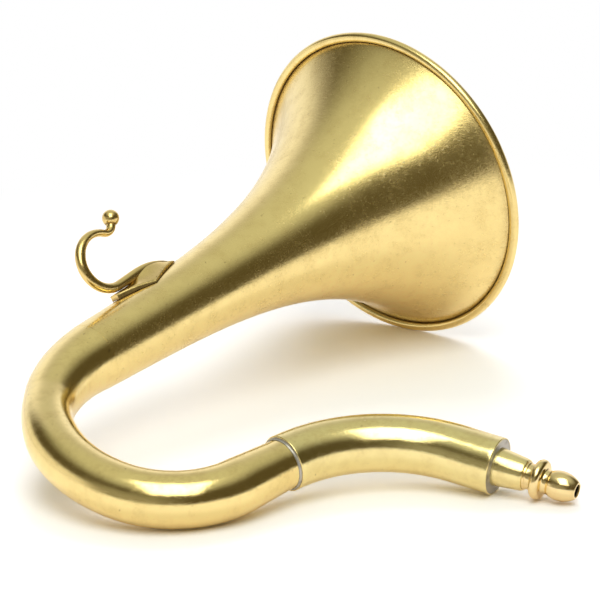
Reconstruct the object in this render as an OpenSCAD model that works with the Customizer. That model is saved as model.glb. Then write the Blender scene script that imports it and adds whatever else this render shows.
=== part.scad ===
// Curved brass reed horn, lying on its side as it rests on a table.
//
// The horn is drawn in its own plane first. The bell's axis is X, the rim's centre is the
// origin, and the tube runs from there towards -X and then turns towards -Y. Distances along
// the tube are counted from the rim. laid() then sets the horn down on its three low points:
// the rim, the bend of the crook and the end of the sleeve.

/* [Bell] */
// Outside diameter over the rolled rim
bell_d = 100; // [85:1:120]
// Length of the straight part, from the rim to the start of the crook
bell_len = 136.5; // [110:0.5:165]
// Thickness of the bell's sheet
bell_wall = 0.4; // [0.3:0.05:0.6]
// Radius of the rolled rim bead
bead_r = 1.45; // [1.2:0.05:1.8]
// How sharply the flare opens near the rim
flare_power = 3.65; // [3:0.05:4.2]
// Outside radius of the neck where the crook starts
neck_r = 10; // [9:0.1:11]
// Half angle of the neck's taper
neck_taper = 2; // [1:0.1:4]

/* [Crook] */
// Outside radius of the crook's even stretch
crook_r = 7.85; // [7.4:0.05:8.5]
// Length over which the crook narrows from the neck to its even stretch
crook_taper_len = 27; // [20:0.5:40]
// Thickness of the crook's tube
crook_wall = 0.5; // [0.4:0.05:0.8]
// Radius of the first, wide bend
bend1_r = 44.5; // [38:0.5:55]
// Angle of the first bend
bend1_a = 98.5; // [90:0.5:105]
// Radius of the second, tight bend
bend2_r = 26; // [22:0.5:32]
// Angle of the second bend
bend2_a = 73.5; // [65:0.5:80]
// Length of the straight run up to the sleeve
crook_tail = 16; // [12:0.5:24]

/* [Sleeve] */
// Outside radius of the sleeve
sleeve_r = 8; // [7.5:0.05:9]
// Thickness of the sleeve
sleeve_wall = 0.8; // [0.6:0.05:1]
// Radius of the sleeve's bend
bend3_r = 41; // [36:0.5:50]
// Angle of the sleeve's bend, which turns the other way
bend3_a = 71.5; // [60:0.5:80]
// Length of the sleeve's straight end
sleeve_tail = 11.5; // [10:0.5:16]
// Depth that the crook enters the sleeve
lap_len = 6; // [4:0.5:10]
// Radial gap of the soldered lap
lap_gap = 0.05; // [0.04:0.01:0.1]
// Length of the solder fillet on the crook
fillet_len = 0.8; // [0.4:0.1:1.5]
// Height of the solder fillet at the sleeve
fillet_h = 0.6; // [0.3:0.05:0.65]

/* [Mouth end] */
// Length of the plug that closes the sleeve
plug_len = 8; // [5:0.5:9]
// Thickness of the solder over the plug
end_solder_t = 1; // [0.6:0.1:1.5]
// Length of the conical socket outside the sleeve
socket_len = 8.5; // [6:0.5:12]
// Bore radius of the socket
socket_bore_r = 3.9; // [3.6:0.05:4]
// Wall of the socket where it meets the sleeve
socket_base_wall = 1.45; // [1.2:0.05:2]
// Wall of the socket at its tip
socket_tip_wall = 0.45; // [0.35:0.05:0.8]
// Wall of the reed chamber, the socket's inner tube
chamber_wall = 0.6; // [0.5:0.05:0.7]
// Least gap between the reed chamber's inner end and the bent sleeve
chamber_side_gap = 0.64; // [0.4:0.02:1]
// Radial running gap of turned pieces in their bores
turned_gap = 0.03; // [0.02:0.01:0.06]

/* [Mouthpiece] */
// Length of the stem inside the socket
stem_in = 12; // [8:0.5:12]
// Length of the stem between the socket and the flange
stem_out = 2.3; // [1.5:0.1:4]
// Radius of the flange
flange_r = 5.6; // [5:0.05:5.7]
// Thickness of the flange
flange_t = 3; // [2:0.1:4]
// Radius of the waist behind the tip
waist_r = 3.35; // [2.8:0.05:3.6]
// Largest radius of the olive tip
olive_r = 4.1; // [3.8:0.05:4.6]
// Length of the olive tip
olive_len = 8; // [6:0.5:10]
// Radius of the tip's flat nose
nose_r = 2.3; // [2.1:0.05:2.6]
// Radius of the blowing bore
blow_r = 1.8; // [1.4:0.05:1.9]

/* [Reed] */
// Length of the reed block
block_len = 5; // [4:0.5:6]
// Outside radius of the shallot
shallot_r = 2.2; // [2:0.05:2.5]
// Wall of the shallot
shallot_wall = 0.6; // [0.4:0.05:0.8]
// Gap between the shallot's tip and the mouthpiece's stem
shallot_tip_gap = 2.5; // [1.5:0.5:4]
// Height of the shallot's flat face over its axis
face_h = 0.3; // [0.1:0.05:0.5]
// How far the tongue's long edges stay inside the shallot's outside
tongue_inset = 0.32; // [0.2:0.01:0.6]
// Thickness of the tongue
tongue_t = 0.2; // [0.15:0.05:0.3]
// Length of the clamped root of the tongue
root_len = 2; // [1.5:0.1:2.4]
// Angle at which the tongue stands off the shallot
tongue_rest_a = 2.2; // [1.5:0.1:2.5]
// Gap on each side of the tongue's root
root_gap = 0.1; // [0.1:0.01:0.15]
// Thickness of the band round the tongue's root
band_t = 0.6; // [0.4:0.05:0.8]

/* [Hook] */
// Distance of the hook's foot from the start of the crook
hook_back = 20.5; // [18:0.5:28]
// Direction of the hook round the neck, from the side away from the crook
hook_a = 52; // [20:1:70]
// Radius of the hook's sweep
hook_sweep_r = 8.25; // [6.5:0.05:10]
// Radius of the hook's wire
hook_wire_r = 1.6; // [1:0.05:1.8]
// Radius of the hook's ball
hook_ball_r = 2.5; // [1.8:0.05:3]
// Length of the forged foot along the plate
foot_len = 21; // [14:0.5:22]
// Thickness of the hook's plate along its middle
plate_t = 1.75; // [1:0.05:2]
// Length of the plate
plate_len = 25.7; // [22:0.1:28]
// Distance from the plate's narrow end to its widest place
plate_wide_at = 12.2; // [8:0.1:14]
// Half width of the plate at its widest place
plate_half_w = 5.6; // [4:0.1:6]
// Radius of the plate's domed top
plate_top_r = 7.5; // [7:0.1:9]

/* [Hidden] */
$fn = 96;

brass = [0.78, 0.66, 0.32];
red_brass = [0.84, 0.62, 0.34];
tin = [0.55, 0.56, 0.58];

// Centreline: the length of each stretch, and how far it turns to the left
function arc_len(r, a) = r * a * PI / 180;
PATH = [[bell_len, 0],
        [arc_len(bend1_r, bend1_a), bend1_a],
        [arc_len(bend2_r, bend2_a), bend2_a],
        [crook_tail, 0],
        [arc_len(bend3_r, bend3_a), -bend3_a],
        [sleeve_tail, 0]];
bend2_s = bell_len + PATH[1][0];
tail_s = bend2_s + PATH[2][0];
joint_s = tail_s + crook_tail;
end_s = joint_s + PATH[4][0] + sleeve_tail;

// The point and heading reached from point p and heading h
function go(p, h, len, turn) = turn == 0 ? [p + len * [cos(h), sin(h)], h]
    : let(r = len * 180 / (PI * turn))
      [p + r * [sin(h + turn) - sin(h), cos(h) - cos(h + turn)], h + turn];
function walk(s, i, p, h) = s <= PATH[i][0] || i == len(PATH) - 1
    ? go(p, h, s, PATH[i][1] * s / PATH[i][0])
    : let(next = go(p, h, PATH[i][0], PATH[i][1]))
      walk(s - PATH[i][0], i + 1, next[0], next[1]);
function station(s) = walk(s, 0, [0, 0], 180);

// Outside radius along the tube
rim_edge_r = bell_d / 2 - 1.8 * bead_r;
slope = tan(neck_taper);
flare_h = rim_edge_r - neck_r - slope * bell_len;
even_s = bell_len + crook_taper_len;
spigot_r = sleeve_r - sleeve_wall - lap_gap;
spigot_s = joint_s - 2;
function bell_r(s) = neck_r + slope * (bell_len - s)
    + flare_h * pow(max(0, 1 - s / bell_len), flare_power);
function crook_r_at(s) = s < even_s
    ? neck_r + (crook_r - neck_r) * (s - bell_len) / crook_taper_len
    : s < tail_s ? crook_r
    : s < spigot_s ? crook_r + (spigot_r - crook_r) * (s - tail_s) / (spigot_s - tail_s)
    : spigot_r;
function tube_r(s) = s < bell_len ? bell_r(s) : s < joint_s ? crook_r_at(s) : sleeve_r;

// Mouth end: z runs outwards along the sleeve's axis, from the sleeve's end
socket_base_r = socket_bore_r + socket_base_wall;
socket_tip_r = socket_bore_r + socket_tip_wall;
chamber_r = socket_bore_r + chamber_wall;
chamber_lip = 1;
sleeve_bore_r = sleeve_r - sleeve_wall;
chamber_len = sleeve_tail
    + sqrt(2 * bend3_r * (sleeve_bore_r - chamber_r - chamber_side_gap));
stem_z = socket_len - stem_in;
block_z = chamber_lip - chamber_len;
face_z = block_z + block_len;
shallot_tip_z = stem_z - shallot_tip_gap;
shallot_len = shallot_tip_z - face_z;
root_z = face_z + 1;
pivot_z = root_z + root_len / 2;
tongue_tip_z = shallot_tip_z - 0.5;
tongue_top_h = face_h + root_gap + tongue_t;
tongue_w = 2 * (sqrt(shallot_r * shallot_r - tongue_top_h * tongue_top_h) - tongue_inset);
flange_z = socket_len + stem_out;
olive_z = flange_z + flange_t + 1.4;
tip_z = olive_z + olive_len;

// Hook: its plane holds the bell's axis, x runs along the neck's surface towards the rim
hook_s = bell_len - hook_back;
hook_base_r = bell_r(hook_s);
plate_gap = 0.05;
foot_y = plate_gap + plate_t + 0.05;
foot_h = 0.9;
sweep_from = -90;
sweep_to = -304;
sweep_c = [0.4, foot_y + foot_h * hook_wire_r + hook_sweep_r];
return_r = 2.9;
return_a = 92;

// How the horn lies: n is the direction in its own frame that points straight up
function unit(v) = v / norm(v);
rim_circle_r = bell_d / 2 - bead_r;
function rim_low(n) = rim_circle_r * unit([0, -n.y, -n.z]) - bead_r * n;
function bend_low(n) =
    let(start = station(bend2_s), h = start[1])
    let(c = start[0] + bend2_r * [-sin(h), cos(h)], side = unit([-n.x, -n.y]))
    [c.x + bend2_r * side.x, c.y + bend2_r * side.y, 0] - crook_r * n;
function end_rim_low(n, z, r) =
    let(end = station(end_s), t = [cos(end[1]), sin(end[1]), 0])
    [end[0].x, end[0].y, 0] + z * t - r * unit(n - (n * t) * t);
function lower(n, p, q) = p * n < q * n ? p : q;
function end_low(n) = lower(n, end_rim_low(n, 0, sleeve_r),
    lower(n, end_rim_low(n, flange_z + flange_t / 2, flange_r),
        end_rim_low(n, olive_z + olive_len / 2, olive_r)));
function settle(n, k) = k == 0 ? n
    : let(a = rim_low(n), b = bend_low(n), c = end_low(n))
      settle(unit(cross(b - a, c - a)), k - 1);
up = settle([0.16, 0.2, 0.96], 8);
lie_roll = atan2(up.y, up.z);
lie_pitch = -asin(up.x);
function turned(v) =
    let(y = v.y * cos(lie_roll) - v.z * sin(lie_roll))
    let(z = v.y * sin(lie_roll) + v.z * cos(lie_roll))
    [v.x * cos(lie_pitch) + z * sin(lie_pitch), y, z * cos(lie_pitch) - v.x * sin(lie_pitch)];

// Balls that the horn's outside envelopes, as [x, y, radius], to find its middle
function tube_ball(s) = let(p = station(s)) concat(turned([p[0].x, p[0].y, 0]), tube_r(s));
function rim_ball(a) = concat(turned(rim_circle_r * [0, cos(a), sin(a)]), bead_r);
end_at = station(end_s);
olive_at = end_at[0] + (olive_z + olive_len / 2) * [cos(end_at[1]), sin(end_at[1])];
envelope = concat([for (s = [bell_len : 0.5 : end_s]) tube_ball(s)],
                  [for (a = [0 : 2 : 358]) rim_ball(a)],
                  [concat(turned([olive_at.x, olive_at.y, 0]), olive_r)]);
function middle(i) = (max([for (b = envelope) b[i] + b[3]])
    + min([for (b = envelope) b[i] - b[3]])) / 2;
rest_shift = [-middle(0), -middle(1), -turned(rim_low(up)).z];

module laid() translate(rest_shift) rotate([lie_roll, lie_pitch, 0]) children();

// Puts z along the tube at distance s, pointing away from the bell
module at_station(s) {
    p = station(s);
    translate([p[0].x, p[0].y, 0]) rotate([0, 90, p[1]]) children();
}

module at_end() at_station(end_s) children();

// Puts x along the neck's surface and y straight out of it at the hook's foot
module at_hook()
    rotate([hook_a, 0, 0]) translate([-hook_s, hook_base_r, 0]) rotate([0, 0, neck_taper])
        children();

module ring(outer, inner, z0, z1) difference() {
    translate([0, 0, z0]) cylinder(r = outer, h = z1 - z0);
    translate([0, 0, z0 - 1]) cylinder(r = inner, h = z1 - z0 + 2);
}

// Skin that runs through rings of points. Each ring joins the next, and closed joins the last
// ring to the first; an open skin is capped at both ends.
module skin(rings, closed) {
    n = len(rings[0]);
    m = len(rings);
    sides = [for (i = [0 : m - (closed ? 1 : 2)], j = [0 : n - 1])
        let(a = i * n, b = ((i + 1) % m) * n, k = (j + 1) % n)
        each [[a + j, b + k, a + k], [a + j, b + j, b + k]]];
    caps = [[for (j = [0 : n - 1]) j], [for (j = [n - 1 : -1 : 0]) (m - 1) * n + j]];
    polyhedron([for (r = rings) each r], closed ? sides : concat(sides, caps), convexity = 10);
}

// Ring of points round the tube's axis at distance s
function tube_ring(s, r, n) = let(p = station(s), h = p[1])
    [for (i = [0 : n - 1]) let(a = 360 * i / n)
        [p[0].x - sin(h) * r * cos(a), p[0].y + cos(h) * r * cos(a), r * sin(a)]];

module bell() color(brass) laid() {
    outline_n = 72;
    rows = [for (i = [0 : outline_n]) let(s = bell_len * pow(i / outline_n, 1.4)) s];
    step = 0.01;
    inside = [for (s = rows)
        let(d = unit([bell_r(s + step) - bell_r(s), step]))
        [bell_r(s) - bell_wall * d.y, s == 0 || s == bell_len ? s : s + bell_wall * d.x]];
    outside = [for (i = [outline_n : -1 : 0]) [bell_r(rows[i]), rows[i]]];
    rotate([0, -90, 0]) {
        rotate_extrude() polygon(concat(inside, outside));
        difference() {
            rotate_extrude() translate([rim_circle_r, 0]) circle(bead_r);
            rotate_extrude() translate([rim_circle_r, 0]) circle(bead_r - bell_wall);
        }
    }
}

module rim_wire() color(brass) laid() rotate([0, -90, 0])
    rotate_extrude() translate([rim_circle_r, 0]) circle(bead_r - bell_wall - turned_gap);

module crook() color(brass) laid() {
    crook_sides = 36;
    rows = concat([for (s = [bell_len : 4 : tail_s - 2]) s],
                  [for (s = [tail_s, (tail_s + spigot_s) / 2, spigot_s]) s],
                  [for (i = [0 : 4]) joint_s + lap_len * i / 4]);
    outer = [for (s = rows) tube_ring(s, crook_r_at(s), crook_sides)];
    inner = [for (i = [len(rows) - 1 : -1 : 0])
        tube_ring(rows[i], crook_r_at(rows[i]) - crook_wall, crook_sides)];
    skin(concat(outer, inner), true);
}

module joint_solder() color(tin) laid() at_station(joint_s) rotate_extrude()
    polygon([[spigot_r, -fillet_len], [spigot_r, 0], [spigot_r + fillet_h, 0]]);

// Puts the origin at the centre of the sleeve's bend, with x along the crook's tail
module at_bend3() {
    start = station(joint_s);
    translate([start[0].x, start[0].y, 0]) rotate([0, 0, start[1]]) translate([0, -bend3_r, 0])
        children();
}

module sleeve() color(brass) laid() at_bend3() {
    rotate([0, 0, 90 - bend3_a])
        rotate_extrude(angle = bend3_a) translate([bend3_r, 0]) difference() {
            circle(sleeve_r);
            circle(sleeve_bore_r);
        }
    rotate([0, 0, -bend3_a]) translate([0, bend3_r, 0]) rotate([0, 90, 0])
        ring(sleeve_r, sleeve_bore_r, 0, sleeve_tail);
}

module end_plug() color(brass) laid() at_end()
    ring(sleeve_bore_r - turned_gap, chamber_r + turned_gap, -end_solder_t - plug_len,
         -end_solder_t);

module end_solder() color(tin) laid() at_end()
    ring(sleeve_bore_r - turned_gap, socket_base_r + turned_gap, -end_solder_t, 0);

module socket() color(brass) laid() at_end() difference() {
    union() {
        translate([0, 0, -chamber_len]) cylinder(r = chamber_r, h = chamber_len);
        translate([0, 0, -end_solder_t]) cylinder(r = socket_base_r, h = end_solder_t);
        cylinder(r1 = socket_base_r, r2 = socket_tip_r, h = socket_len);
    }
    translate([0, 0, block_z]) cylinder(r = socket_bore_r, h = chamber_len + socket_len);
    translate([0, 0, -chamber_len - 1]) cylinder(r = shallot_r + 0.6, h = chamber_len);
}

module reed_block() color(brass) laid() at_end()
    ring(socket_bore_r - turned_gap, shallot_r + turned_gap, block_z, face_z);

module shallot() color(brass) laid() at_end() difference() {
    translate([0, 0, block_z]) cylinder(r = shallot_r, h = block_len + shallot_len);
    translate([0, 0, block_z - 1])
        cylinder(r = shallot_r - shallot_wall, h = block_len + shallot_len);
    translate([face_h, -shallot_r - 1, face_z])
        cube([shallot_r, 2 * shallot_r + 2, shallot_len + 1]);
}

module tongue() color(red_brass) laid() at_end()
    translate([face_h + root_gap, 0, pivot_z]) rotate([0, tongue_rest_a, 0])
        translate([0, -tongue_w / 2, -root_len / 2])
            cube([tongue_t, tongue_w, tongue_tip_z - root_z]);

module reed_wedge() color(brass) laid() at_end() intersection() {
    translate([0, 0, root_z]) cylinder(r = shallot_r, h = root_len);
    translate([tongue_top_h + root_gap, -shallot_r, root_z - 1])
        cube([shallot_r, 2 * shallot_r, root_len + 2]);
}

module reed_band() color(brass) laid() at_end()
    ring(shallot_r + turned_gap + band_t, shallot_r + turned_gap, root_z, root_z + root_len);

module mouthpiece() color(red_brass) laid() at_end() {
    stem_r = socket_bore_r - turned_gap;
    edge_r = flange_t / 2;
    // Back and front arcs of the olive, from its waist to its widest place and to its nose
    back_l = 0.4 * olive_len;
    front_l = olive_len - back_l;
    back_d = olive_r - waist_r;
    front_d = olive_r - nose_r;
    back_arc = (back_l * back_l + back_d * back_d) / (2 * back_d);
    front_arc = (front_l * front_l + front_d * front_d) / (2 * front_d);
    bulge = concat(
        [for (i = [0 : 8]) let(z = -back_l * (1 - i / 8))
            [olive_r - back_arc + sqrt(back_arc * back_arc - z * z), olive_z + back_l + z]],
        [for (i = [1 : 16]) let(z = front_l * i / 16)
            [olive_r - front_arc + sqrt(front_arc * front_arc - z * z),
             olive_z + back_l + z]]);
    difference() {
        union() {
            translate([0, 0, stem_z])
                cylinder(r = stem_r, h = stem_in + stem_out + 0.5);
            translate([0, 0, flange_z]) cylinder(r = flange_r - edge_r, h = flange_t);
            translate([0, 0, flange_z + edge_r])
                rotate_extrude() translate([flange_r - edge_r, 0]) circle(edge_r);
            translate([0, 0, flange_z]) cylinder(r = waist_r, h = olive_z - flange_z + 0.5);
            rotate_extrude() polygon(concat([[0, olive_z]], bulge, [[0, tip_z]]));
        }
        translate([0, 0, stem_z - 1]) cylinder(r = blow_r, h = tip_z + stem_in);
    }
}

// Half section of the neck between two distances, with its surface raised by lift
function neck_core(from, to, lift) = concat([[0, from]],
    [for (i = [0 : 14]) let(s = from + (to - from) * i / 14) [bell_r(s) + lift, s]],
    [[0, to]]);

// The plate's outline is drawn flat. Its underside fits the neck, and its top is a dome with a
// smaller radius, so the plate is thick along its middle and thin at its corners.
module hook_plate() color(brass) laid() {
    narrow_s = hook_s + 3;
    wide_s = narrow_s - plate_wide_at;
    tip_s = narrow_s - plate_len;
    tip_half_w = 0.7;
    dome_y = hook_base_r + plate_gap + plate_t - plate_top_r;
    rotate([hook_a, 0, 0]) difference() {
        intersection() {
            translate([0, dome_y, 0]) rotate([0, -90, 0]) rotate_extrude()
                polygon(neck_core(tip_s - 2, narrow_s + 2, plate_gap + plate_t - dome_y));
            rotate([-90, 0, 0]) linear_extrude(height = 40)
                polygon([[-tip_s, tip_half_w], [-wide_s, plate_half_w],
                         [-narrow_s, hook_wire_r], [-narrow_s, -hook_wire_r],
                         [-wide_s, -plate_half_w], [-tip_s, -tip_half_w]]);
        }
        rotate([0, -90, 0]) rotate_extrude()
            polygon(neck_core(tip_s - 3, narrow_s + 3, plate_gap));
    }
}

// How far the flare lifts the neck's surface over the straight taper at x along the hook's foot
function neck_rise(x) = let(s = hook_s - x * cos(neck_taper))
    (bell_r(s) - hook_base_r - slope * (hook_s - s)) * cos(neck_taper);
// The hook's route in its plane: each point is [x, y, half height, half width]
function hook_route() = let(
    foot = [for (i = [0 : 11]) let(f = i / 12, x = sweep_c.x + foot_len * (1 - f))
        let(h = hook_wire_r * (0.12 + (foot_h - 0.12) * sin(90 * f)))
        [x, foot_y + neck_rise(x) + h, h, hook_wire_r * (0.35 + 0.6 * sin(90 * f))]],
    sweep = [for (i = [0 : 20])
        let(f = i / 20, a = sweep_from + (sweep_to - sweep_from) * f)
        [sweep_c.x + hook_sweep_r * cos(a), sweep_c.y + hook_sweep_r * sin(a),
         hook_wire_r * (foot_h + 0.1 * min(1, 3 * f) - 0.36 * max(0, 2.4 * f - 1.4)),
         hook_wire_r * 0.95]],
    c = sweep_c + (hook_sweep_r + return_r) * [cos(sweep_to), sin(sweep_to)],
    back = [for (i = [1 : 8]) let(a = sweep_to + 180 + return_a * i / 8)
        [c.x + return_r * cos(a), c.y + return_r * sin(a),
         hook_wire_r * (0.64 + 0.22 * i / 8), hook_wire_r * 0.95]])
    concat(foot, sweep, back);
route = hook_route();
route_end = len(route) - 1;
function route_at(i) = [route[i].x, route[i].y];
function route_dir(i) =
    unit(route_at(min(i + 1, route_end)) - route_at(max(i - 1, 0)));

module hook() color(brass) laid() at_hook() {
    hook_sides = 20;
    rings = [for (i = [0 : route_end]) let(d = route_dir(i), w = route[i][2])
        [for (j = [0 : hook_sides - 1]) let(a = 360 * j / hook_sides)
            [route[i].x - d.y * w * cos(a), route[i].y + d.x * w * cos(a),
             route[i][3] * sin(a)]]];
    ball = route_at(route_end) + (hook_ball_r - 0.4) * route_dir(route_end);
    skin(rings, false);
    translate([ball.x, ball.y, 0]) sphere(r = hook_ball_r);
}

bell();
rim_wire();
crook();
joint_solder();
sleeve();
end_plug();
end_solder();
socket();
reed_block();
shallot();
tongue();
reed_wedge();
reed_band();
mouthpiece();
hook_plate();
hook();
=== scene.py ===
# %% [markdown]
# # A curved brass reed horn
# The horn is a spun bell, a bent tube, a soldered sleeve and a small turned mouthpiece. Its
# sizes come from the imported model, which is loaded first as a fixed frame. Each outer piece is
# then made again with smoother curves, worn edges and an aged brass finish.

# %% Load the frame
import math

import bmesh
import bpy
from mathutils import Matrix, Vector, noise


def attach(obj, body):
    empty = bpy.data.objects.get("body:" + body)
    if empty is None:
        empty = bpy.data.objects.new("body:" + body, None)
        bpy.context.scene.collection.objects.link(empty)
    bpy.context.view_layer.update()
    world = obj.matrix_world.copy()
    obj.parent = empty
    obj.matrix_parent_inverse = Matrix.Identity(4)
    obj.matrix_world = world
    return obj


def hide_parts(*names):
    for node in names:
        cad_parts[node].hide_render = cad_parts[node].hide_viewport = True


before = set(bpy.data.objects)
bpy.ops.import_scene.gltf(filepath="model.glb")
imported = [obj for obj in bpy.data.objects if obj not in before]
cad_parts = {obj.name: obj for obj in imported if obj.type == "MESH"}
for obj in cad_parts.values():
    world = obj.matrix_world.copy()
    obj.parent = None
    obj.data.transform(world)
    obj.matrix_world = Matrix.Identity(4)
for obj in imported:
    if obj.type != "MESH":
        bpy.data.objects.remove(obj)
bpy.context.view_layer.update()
MM = 0.001
print("nodes:", sorted(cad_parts))

# %% [markdown]
# The camera looks down on the table by 16 degrees, from a little under a metre away, behind the
# bell and to one side of it. Its lens is long, which keeps the bell and the mouthpiece close to
# their true relative sizes. Its place is given by a point and the direction that it looks in,
# and then it is rolled a little about that direction.

# %% Camera
CAMERA_AT = Vector((-0.6201, -0.5325, 0.2740))
CAMERA_LOOKS = Vector((0.72541, 0.63093, -0.27514))
CAMERA_ROLL = math.radians(-2.19)
LENS_MM = 180

camera_data = bpy.data.cameras.new("camera")
camera_data.lens = LENS_MM
camera_data.clip_end = 20
camera = bpy.data.objects.new("camera", camera_data)
aim = CAMERA_LOOKS.to_track_quat("-Z", "Y").to_matrix() @ Matrix.Rotation(CAMERA_ROLL, 3, "Z")
camera.matrix_world = Matrix.Translation(CAMERA_AT) @ aim.to_4x4()
bpy.context.scene.collection.objects.link(camera)
bpy.context.scene.camera = camera
print("camera distance in mm:", round(CAMERA_AT.length / MM))

# %% [markdown]
# The horn is drawn in its own plane, as a maker would draw it, in millimetres. The bell's axis
# is X, the rim's centre is the origin, and distance along the tube is counted from the rim.
# One matrix then lays the drawing down on the table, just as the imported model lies.

# %% Where the horn lies
LIE_ROLL = math.radians(11.8562)
LIE_PITCH = math.radians(-9.35839)
REST_SHIFT = Vector((87.8173, 44.8342, 49.3538))

LAID = (
    Matrix.Scale(MM, 4)
    @ Matrix.Translation(REST_SHIFT)
    @ Matrix.Rotation(LIE_PITCH, 4, "Y")
    @ Matrix.Rotation(LIE_ROLL, 4, "X")
)
print("rim centre in mm:", [round(v / MM, 2) for v in LAID.translation])

# %% [markdown]
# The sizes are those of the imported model: a bell that flares to its rim, a neck that tapers by
# two degrees, and a thinner crook that narrows to a spigot inside the sleeve. The centreline is a
# chain of straight stretches and bends. The crook's two bends turn to the left, and the sleeve's
# bend turns to the right.

# %% Sizes of the tube, in millimetres
BELL_D = 100
BELL_LEN = 136.5
BELL_WALL = 0.4
BEAD_R = 1.45
FLARE_STOPS = 1.8 * BEAD_R
FLARE_POWER = 3.65
NECK_R = 10
NECK_TAPER = math.radians(2)
SLOPE = math.tan(NECK_TAPER)
CROOK_R = 7.85
CROOK_TAPER_LEN = 27
CROOK_WALL = 0.5
CROOK_TAIL = 16
SLEEVE_R = 8
SLEEVE_WALL = 0.8
SLEEVE_TAIL = 11.5
SLEEVE_BORE_R = SLEEVE_R - SLEEVE_WALL
SPIGOT_R = SLEEVE_BORE_R - 0.05
SPIGOT_LEAD = 2
LAP_LEN = 6

# Each stretch of the centreline: its length and how far it turns to the left, in degrees
BENDS = [(44.5, 98.5), (26, 73.5), (41, -71.5)]
bend_lengths = [r * math.radians(abs(turn)) for r, turn in BENDS]
STRETCHES = [
    (BELL_LEN, 0),
    (bend_lengths[0], BENDS[0][1]),
    (bend_lengths[1], BENDS[1][1]),
    (CROOK_TAIL, 0),
    (bend_lengths[2], BENDS[2][1]),
    (SLEEVE_TAIL, 0),
]
BEND2_S = BELL_LEN + bend_lengths[0]
TAIL_S = BEND2_S + bend_lengths[1]
JOINT_S = TAIL_S + CROOK_TAIL
END_S = JOINT_S + bend_lengths[2] + SLEEVE_TAIL
EVEN_S = BELL_LEN + CROOK_TAPER_LEN
SPIGOT_S = JOINT_S - SPIGOT_LEAD
RIM_EDGE_R = BELL_D / 2 - FLARE_STOPS
RIM_CIRCLE_R = BELL_D / 2 - BEAD_R
FLARE_H = RIM_EDGE_R - NECK_R - SLOPE * BELL_LEN
print("joint at", round(JOINT_S, 1), "mm and end at", round(END_S, 1), "mm from the rim")


def bell_r(s):
    """Outside radius of the bell at distance s from the rim."""
    flare = max(0, 1 - s / BELL_LEN) ** FLARE_POWER
    return NECK_R + SLOPE * (BELL_LEN - s) + FLARE_H * flare


def crook_r(s):
    """Outside radius of the crook, which narrows again to enter the sleeve."""
    if s < EVEN_S:
        return NECK_R + (CROOK_R - NECK_R) * (s - BELL_LEN) / CROOK_TAPER_LEN
    run = min(1, max(0, (s - TAIL_S) / (SPIGOT_S - TAIL_S)))
    return CROOK_R + (SPIGOT_R - CROOK_R) * run


# %% [markdown]
# A place on the tube is a matrix: local Z points along the tube away from the bell, X points
# out of the horn's plane and Y to the side. Walking the stretches one by one gives the matrix
# at any distance, so every ring, joint and turned piece can be set on the tube the same way.


# %% Places along the tube
def station(s):
    """Matrix of the centreline at distance s from the rim."""
    x, y, heading = 0.0, 0.0, math.pi
    for length, turn in STRETCHES:
        step = s if (length, turn) == STRETCHES[-1] else min(s, length)
        bend = math.radians(turn) * step / length
        if turn:
            r = step / bend
            x += r * (math.sin(heading + bend) - math.sin(heading))
            y += r * (math.cos(heading) - math.cos(heading + bend))
        else:
            x += step * math.cos(heading)
            y += step * math.sin(heading)
        heading += bend
        s -= step
        if s <= 0:
            break
    turned = Matrix.Rotation(heading, 4, "Z") @ Matrix.Rotation(math.pi / 2, 4, "Y")
    return Matrix.Translation((x, y, 0)) @ turned


def ring_at(s, r):
    """Matrix that places the unit circle round the tube at distance s with radius r."""
    return station(s) @ Matrix.Diagonal((r, r, r, 1))


MOUTH_END = station(END_S)
print("sleeve end in mm:", [round(v / MM, 2) for v in (LAID @ MOUTH_END).translation])

# %% [markdown]
# Tubes are swept: a circle is extruded from one ring matrix to the next. Each new ring of
# vertices is moved by the next matrix times the inverse of the last, which places, turns and
# scales it in one step. Going out along the outside and back along the bore, and then bridging
# the last ring to the first, gives a tube with a real wall.


# %% Sweep helper
LAY = "straight"
PAINTED_SHADE_AND_DIRT = "grime"


def new_mesh():
    """An empty mesh whose vertices can store their straightened place, and their dirt and painted
    shade.
    """
    mesh = bmesh.new()
    mesh.verts.layers.float_vector.new(LAY)
    mesh.verts.layers.float.new(PAINTED_SHADE_AND_DIRT)
    return mesh


def sweep(mesh, rings, sides, closed=True):
    """Extrudes a circle through the ring matrices and returns its rings of vertices."""
    made = bmesh.ops.create_circle(mesh, segments=sides, radius=1, matrix=rings[0])
    loops = [made["verts"]]
    first = edges = list({e for v in made["verts"] for e in v.link_edges})
    for last, place in zip(rings, rings[1:]):
        grown = bmesh.ops.extrude_edge_only(mesh, edges=edges)["geom"]
        verts = [g for g in grown if isinstance(g, bmesh.types.BMVert)]
        inside = set(verts)
        edges = [
            g
            for g in grown
            if isinstance(g, bmesh.types.BMEdge) and inside.issuperset(g.verts)
        ]
        bmesh.ops.transform(mesh, matrix=place @ last.inverted(), verts=verts)
        loops.append(verts)
    if closed:
        bmesh.ops.bridge_loops(mesh, edges=first + edges)
    else:
        bmesh.ops.holes_fill(mesh, edges=first + edges)
    return loops


# %% [markdown]
# Turned pieces, such as the socket and the mouthpiece, are made as on a lathe: the profile is a
# chain of edges, and spin carries it round the axis. Sharp corners of the profile are bevelled
# first, because a real edge is never perfectly sharp and its small round catches the light.


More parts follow.
